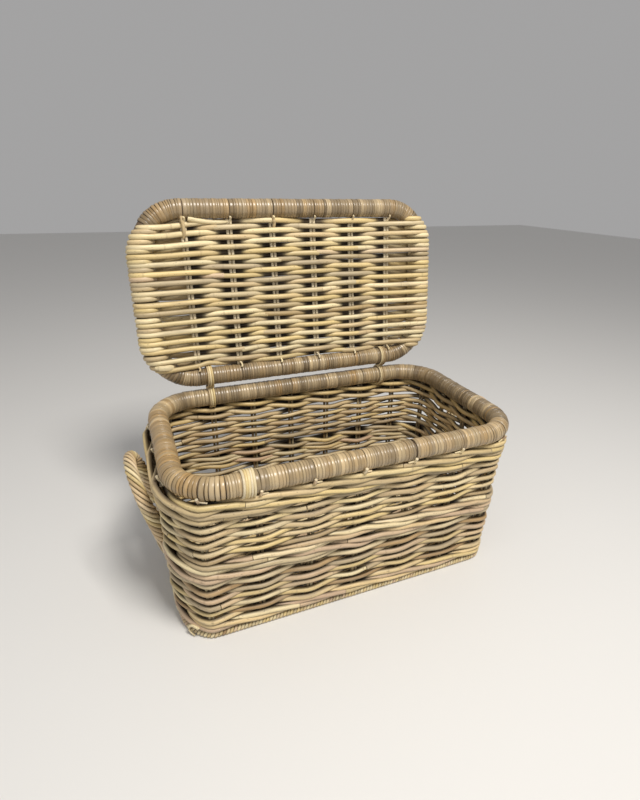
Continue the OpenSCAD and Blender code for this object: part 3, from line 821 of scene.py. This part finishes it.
def handle_rope(bundle, end):
    """The rope of one handle; end is -1 for the left one and 1 for the right one."""
    rng = bundle.rng
    centre, dist = handle_path(end)
    t = unit(np.gradient(centre, axis=0))
    middle_out = unit(centre[len(t) // 2] - (centre[0] + centre[-1]) / 2)
    normal = unit(np.cross(t, np.cross(middle_out, [0, 1.0, 0])))
    binormal = np.cross(t, normal)
    near = np.minimum(dist, dist[-1] - dist)
    radius = HANDLE_R + ROOT_SWELL * (1 - smooth(near, 0, ROOT))
    share = math.sin(PI / ROPE_STRANDS)
    thick = 0.92 * radius * share / (1 + share)
    for k in range(ROPE_STRANDS):
        ang = 2 * PI * (k / ROPE_STRANDS - dist / ROPE_LAY)
        radial = np.cos(ang)[:, None] * normal + np.sin(ang)[:, None] * binormal
        path = centre + (radius - thick)[:, None] * radial
        width = thick * rng.uniform(0.94, 1.04)
        first = rope_tail(rng, path[0], unit(path[0] - path[3]), end)
        last = rope_tail(rng, path[-1], unit(path[-1] - path[-4]), end)
        path = np.concatenate([first[::-1], path, last])
        width = np.pad(width, (len(first), len(last)), "edge")
        radial = np.pad(radial, ((len(first), len(last)), (0, 0)), "edge")
        # painted shade where the rope's strands touch each other
        bundle.tube(path, width, strand_colour(rng, WALL_MIX), ref=radial, sides=10, groove=0.8)
    # painted shade: a near-black core that shows between the strands
    bundle.tube(centre, radius - 1.5 * thick, PAINTED_CORE_SHADE, ref=(0, 1, 0.01), caps=False)


def build_handles():
    for end, side, seed in ((-1, "left", 91), (1, "right", 92)):
        handle = Bundle(seed)
        handle_rope(handle, end)
        handle.build(f"{side}_handle_rope", "basket", "handle_rope", MAT_ROPE, f"{side}_handle")


# ---- hinges: three turns of cane in a figure of eight, tied in the middle ----
def hinge_loop(bundle, x0, low, high):
    """Round the rim at low and the lid's rail at high, both given as (y, z)."""
    r0 = RAIL_R + HINGE_CANE + 0.15
    r1 = r0 + HINGE_CLEAR
    lean = math.atan2(high[0] - low[0], high[1] - low[1])
    open_angle = math.acos((r0 + r1) / np.linalg.norm(high - low))
    a = np.linspace(open_angle, 2 * PI - open_angle, 40)
    lower_turn = np.stack([low[0] + r0 * np.sin(a + lean), low[1] + r0 * np.cos(a + lean)], -1)
    b = np.linspace(PI + open_angle, 3 * PI - open_angle, 40)
    upper_turn = np.stack([high[0] - r1 * np.sin(b - lean), high[1] + r1 * np.cos(b - lean)], -1)
    loop = np.concatenate([lower_turn, upper_turn, lower_turn[:1]])
    for k in (-1, 0, 1):
        x = x0 + 3.55 * k + 0.25 * np.sin(np.linspace(0, 4 * PI, len(loop)) + k)
        colour = pick(bundle.rng, (CREAM, BEIGE, STRAW, PEEL_TAN), (4, 3, 2, 1))
        bundle.tube(np.column_stack([x, loop]), HINGE_CANE, colour, ref=(1, 0, 0), caps=False)


def hinge_tie(bundle, x0, mid):
    """Two turns round the waist of the loop, whose middle is mid as (y, z)."""
    a = np.linspace(0, 2 * PI, 36)
    for k in (-1, 1):
        z = mid[1] + 1.05 * k + 0.5 * np.sin(a)
        path = np.stack([x0 + 6.6 * np.cos(a), mid[0] + 6.4 * np.sin(a), z], -1)
        bundle.tube(path, TIE_CANE, pick(bundle.rng, (CREAM, BEIGE), (2, 1)), sides=6, caps=False)


def build_hinges():
    low, high = np.array([RAIL_Y, RIM_Z]), np.array([HINGE_Y, HINGE_Z])
    for x0, side, seed in ((HINGE_X[0], "left", 101), (HINGE_X[1], "right", 102)):
        hinge = Bundle(seed)
        hinge_loop(hinge, x0, low, high)
        hinge.build(f"{side}_hinge_cane", "basket", "binding_cane", MAT_BIND, f"{side}_hinge_loop")
        tie = Bundle(seed + 10)
        hinge_tie(tie, x0, (low + high) / 2 - np.array([0, 0.2]))
        tie.build(f"{side}_hinge_tie", "basket", "binding_cane", MAT_BIND, f"{side}_hinge_collar")


build_handles()
build_hinges()


# ---- lid: drawn flat, x along the hinge rail, y to the free edge, z the inner face ----
def raise_lid(co):
    a = math.radians(90 - LID_LEAN)
    y, z = co[:, 1], co[:, 2]
    return np.stack([co[:, 0], HINGE_Y + y * math.cos(a) - z * math.sin(a),
                     HINGE_Z + y * math.sin(a) + z * math.cos(a)], -1)


def rail_x(v):
    """Distance of an end rail's centre from the middle, at height v of the lid."""
    over = np.maximum(0, abs(v - LID_MID) - LID_CY)
    return LID_CX + np.sqrt(np.maximum(LID_CORNER**2 - over**2, 0))


def hinge_dodge(x, v):
    """The row next to the hinge rail bows round the hinge loops."""
    push = sum(np.exp(-((x - h) / 11.0) ** 2) for h in HINGE_X)
    return v + np.maximum(0.0, 25.2 - v) * push


def row_path(v, front_first, rng, x0, x1):
    """A strand across the panel: in front of the first pair if front_first, behind the next, and so on."""
    x = np.linspace(x0, x1, 80)
    c = np.cos(PI * (x - LID_PAIRS[0]) / LID_GAP) * (1 if front_first else -1)
    w = (STAKE_R + 3.7) * swing(c)
    rise = v + 1.0 * np.sin(x / 41 + v / 27) + wander(rng, x, 0.6, 60)
    behind = smooth(-w, 0, 6)
    return x, rise - ROW_SAG * behind * (1 - smooth(v, 40, 190)), w


def end_loop(sign, edge, v_end, w_end, reach, ring):
    """From the panel's edge up over the rail, round its outside and on to the back. edge and reach are
    distances from the lid's middle, and ring is the strand's distance from the rail's."""
    side = 1 if w_end > 0 else -1
    dx, dw = edge - reach, abs(w_end)
    tangent = math.atan2(dw, dx) - math.acos(min(1, ring / math.hypot(dx, dw)))
    a = np.linspace(tangent, -PI - 0.15, 30)
    px, pw = reach + ring * np.cos(a), side * ring * np.sin(a)
    drift = (tangent - a) / (2 * PI) * ROW_PITCH * 0.2
    run = np.linspace(0, 1, 9)[1:-1]
    lx, lw = edge + (px[0] - edge) * run, w_end + (pw[0] - w_end) * run
    x = np.concatenate([lx, px]) * sign
    v = np.concatenate([np.full(len(run), v_end), v_end + drift])
    return np.stack([x, v, np.concatenate([lw, pw])], -1)


def settle(path, v, reach, w_first, w_last):
    """How the photographed lid's rows have slipped: down behind the first pairs, down at the upper left,
    and flat under the first pair near the free edge."""
    px, pv, pw = path.T
    for sign, w_end in ((-1, w_first), (1, w_last)):
        if w_end < 0:
            between = smooth(sign * px, 172, 200) * (1 - smooth(sign * px, reach - 34, reach - 12))
            pv = pv - ROW_SLIP * (1 - smooth(v, 60, 230)) * between
    pv = pv - ROW_DROOP * smooth(pv, 150, 256) * smooth(-px, 150, 235)
    if v > 230:
        pw = pw * (1 - 0.75 * np.exp(-((px - LID_PAIRS[0]) / 20) ** 2) * (pw > 0))
    return relax(np.stack([px, hinge_dodge(px, pv), pw], -1))


def lid_row(bundle, k, v):
    """One row with its loops round both end rails. Even rows lie in front of the first stake pair."""
    rng = bundle.rng
    front = k % 2 == 0
    reach = rail_x(v)
    r = rng.uniform(*ROW_R)
    first, last = LID_PAIRS[0] - 4, LID_PAIRS[-1] + 4
    x, vv, w = row_path(v, front, rng, first, last)
    left = end_loop(-1, -first, vv[0], w[0], reach, POLE_R + r)
    right = end_loop(1, last, vv[-1], w[-1], reach, POLE_R + r)
    path = settle(np.concatenate([left[::-1], np.stack([x, vv, w], -1), right]), v, reach, w[0], w[-1])
    cuts = [len(path)]
    if rng.random() < 0.55:
        # the strand ends in front of a stake pair and another goes on beside it
        ahead = [p for n, p in enumerate(LID_PAIRS[1:-1], 1) if (n % 2 == 0) == front]
        stop = ahead[rng.integers(len(ahead))] + rng.uniform(8, 20) * rng.choice((-1, 1))
        cuts = [int(np.argmin(abs(path[:, 0] - stop))), len(path)]
    begin = 0
    for stop in cuts:
        part = path[begin:stop].copy()
        if begin:
            part[:, 1] += rng.uniform(-1.3, 1.3) * (1 - smooth(np.arange(len(part)), 0, 18))
            r = rng.uniform(*ROW_R_AFTER)
        panel = 1 - smooth(abs(part[:, 0]), 176, 200)  # the loops round the end rails get no painted shade
        bundle.tube(part, r, strand_colour(rng, LID_MIX), ref=(0, 1, 0), flat=1.12, depth=part[:, 2] * panel,
                    shade_depths=(2.4, 5.4))
        begin = stop - 2


def split_end(bundle):
    """A split strand end, pressed flat over the loops of the corner by the left hinge."""
    a = np.radians(np.linspace(50, 132, 16))
    x = -rail_x(27.0) - 22.4 * np.cos(a)
    width = np.interp(a, [a[0], a[4], a[12], a[-1]], [2.6, 4.6, 5.2, 3.4])
    away = np.stack([-np.cos(a), 0 * a, np.sin(a)], -1)
    path = np.stack([x, np.linspace(28.0, 25.6, 16), 22.4 * np.sin(a)], -1)
    bundle.tube(path, width, 1.1 * CREAM, ref=away, flat=0.28)


def edge_strands(bundle):
    """Two short strands by the free edge: one across the first two pairs, one in the left corner."""
    x = np.linspace(LID_PAIRS[0] + 7, LID_PAIRS[1] + 4, 20)
    v = np.linspace(261, 256, 20) - 3 * np.sin(np.linspace(0, PI, 20))
    bundle.tube(np.stack([x, v, np.linspace(7, -1, 20)], -1), 3.6, CREAM, ref=(0, 1, 0), flat=1.1)
    x = np.linspace(-226, LID_PAIRS[0] + 30, 20)
    v = 258.4 - 14 * smooth(-x, 190, 240)
    bundle.tube(np.stack([x, v, np.full(20, -1.5)], -1), 2.6, GREY)


def build_lid_weave():
    """Three pieces of the panel, row by row, each with the short strands that lie on it."""
    heights = np.linspace(ROW_LOW, ROW_HIGH, ROWS)
    for part, rows, cad, extra in (("lower", range(0, 11), "lid_left_loops", split_end),
                                   ("middle", range(11, 22), "lid_weave", None),
                                   ("upper", range(22, ROWS), "lid_right_loops", edge_strands)):
        strands = Bundle(120 + rows[0])
        for k in rows:
            lid_row(strands, k, heights[k] + strands.rng.normal(0, 0.2))
        if extra:
            extra(strands)
        strands.build(f"lid_{part}_strands", "lid", "weave_strand", MAT_STRAND, cad, lift=raise_lid)


def build_lid_peel():
    """Peel round the rail's two long sides and part of their corners; the strands wrap the ends."""
    bend = LID_CORNER * math.radians(90 - LOOP_ARC)
    far = 2 * LID_CX + PI * LID_CORNER + 2 * LID_CY  # where the free edge's straight begins
    for seed, side, begin, way in ((131, "rear", 0, 1), (132, "front", far, -1)):
        wrap = Bundle(seed)
        slits = [begin + LID_CX + way * p for p in LID_PAIRS]
        peel_run(wrap, begin - bend, begin + 2 * LID_CX + bend, (LID_CX, LID_CY, LID_CORNER),
                 (2.0, 3, 5, 2.5, 1.2), slits)
        for rows in wrap.co:
            rows[:, 1] += LID_MID
        wrap.build(f"lid_{side}_peel", "lid", "rim_peel", MAT_PEEL, f"lid_{side}_wrap", lift=raise_lid)


def build_hooks():
    """Stake ends hooked over the rails, and two that lie in front of the highest rows."""
    hooks = Bundle(141)
    a = np.linspace(0, PI * 0.9, 12)
    for p in LID_PAIRS:
        for y, way in ((RAIL_R, 1), (LID_WID - RAIL_R, -1)):
            path = np.stack([p - 2 + 3.2 * np.sin(a), y + way * (7 - 9.5 * np.sin(a * 0.55)),
                             4.5 + 9.5 * np.sin(a * 0.6)], -1)
            hooks.tube(path, 1.7, pick(hooks.rng, (CREAM, PITH, BEIGE), (3, 2, 2)), ref=(1, 0, 0), sides=6)
    fine = np.linspace(0, 5, 16)
    for p, v0 in ((LID_PAIRS[0] - 1.5, 232.0), (LID_PAIRS[2] + 1.5, 244.0)):
        v = np.interp(fine, range(6), [v0, v0 + 5, v0 + 11, 254, 260, 264.5])
        w = np.interp(fine, range(6), [2.5, 6.5, 8.6, 9.6, 10.0, 10.4])
        hooks.tube(relax(np.stack([p + 1.2 * np.sin(fine), v, w], -1)), 2.6, BEIGE, ref=(1, 0, 0))
    hooks.build("lid_stake_hooks", "lid", "binding_cane", MAT_BIND, "lid_stake_ends", lift=raise_lid)


build_lid_weave()
build_lid_peel()
build_hooks()

# ---- stage, light and camera, in metres ----
FLOOR_SIZE, FLOOR_DROP, FLOOR_GREY = 12, 0.0003, (0.72, 0.71, 0.69, 1)
CAM_PLACE, CAM_AZ, CAM_EL, CAM_ROLL = (-0.2939, -0.6682, 0.6147), 0.3936, -0.4234, 0.0197
CAM_SENSOR, CAM_FOCAL = 36, 487.7 / 800
AIM = (0, 0, 0.2)
scene = bpy.context.scene


def build_floor():
    mat = bpy.data.materials.new("studio_floor")
    mat.use_nodes = True
    shader = mat.node_tree.nodes["Principled BSDF"]
    shader.inputs["Base Color"].default_value = FLOOR_GREY
    shader.inputs["Roughness"].default_value = 0.7
    bpy.ops.mesh.primitive_plane_add(size=FLOOR_SIZE, location=(0, 0, -FLOOR_DROP))
    floor = bpy.context.object
    floor.name = "studio_floor"
    floor.data.materials.append(mat)


def build_world():
    scene.view_settings.view_transform = "Standard"
    world = bpy.data.worlds.new("studio_world")
    world.use_nodes = True
    background = world.node_tree.nodes["Background"]
    background.inputs["Color"].default_value = (0.92, 0.91, 0.91, 1)
    background.inputs["Strength"].default_value = 0.40
    scene.world = world


def area(name, place, size, power, tint):
    """A square lamp turned towards AIM."""
    lamp = bpy.data.lights.new(name, "AREA")
    lamp.size, lamp.energy, lamp.color = size, power, tint
    o = bpy.data.objects.new(name, lamp)
    scene.collection.objects.link(o)
    o.location = place
    direction = np.array(AIM) - np.array(place)
    o.rotation_euler = Vector(direction).to_track_quat("-Z", "Y").to_euler()


def build_camera():
    """The photograph's viewpoint: azimuth from +Y towards +X, elevation and roll in radians."""
    data = bpy.data.cameras.new("camera")
    data.sensor_width = CAM_SENSOR
    data.lens = CAM_FOCAL * CAM_SENSOR
    camera = bpy.data.objects.new("camera", data)
    scene.collection.objects.link(camera)
    flat = math.cos(CAM_EL)
    fwd = np.array([flat * math.sin(CAM_AZ), flat * math.cos(CAM_AZ), math.sin(CAM_EL)])
    right = np.array([math.cos(CAM_AZ), -math.sin(CAM_AZ), 0])
    up = np.cross(right, fwd)
    turn = np.eye(4)
    turn[:3, 0] = right * math.cos(CAM_ROLL) + up * math.sin(CAM_ROLL)
    turn[:3, 1] = -right * math.sin(CAM_ROLL) + up * math.cos(CAM_ROLL)
    turn[:3, 2] = -fwd
    turn[:3, 3] = CAM_PLACE
    camera.matrix_world = Matrix(turn.tolist())
    scene.camera = camera


build_floor()
build_world()
area("key_light", (0.2, -0.95, 2.05), 0.6, 43, (1.0, 0.968, 0.92))
area("fill_light", (-1.6, -0.9, 1.0), 1.4, 4, (0.94, 0.97, 1.0))
build_camera()
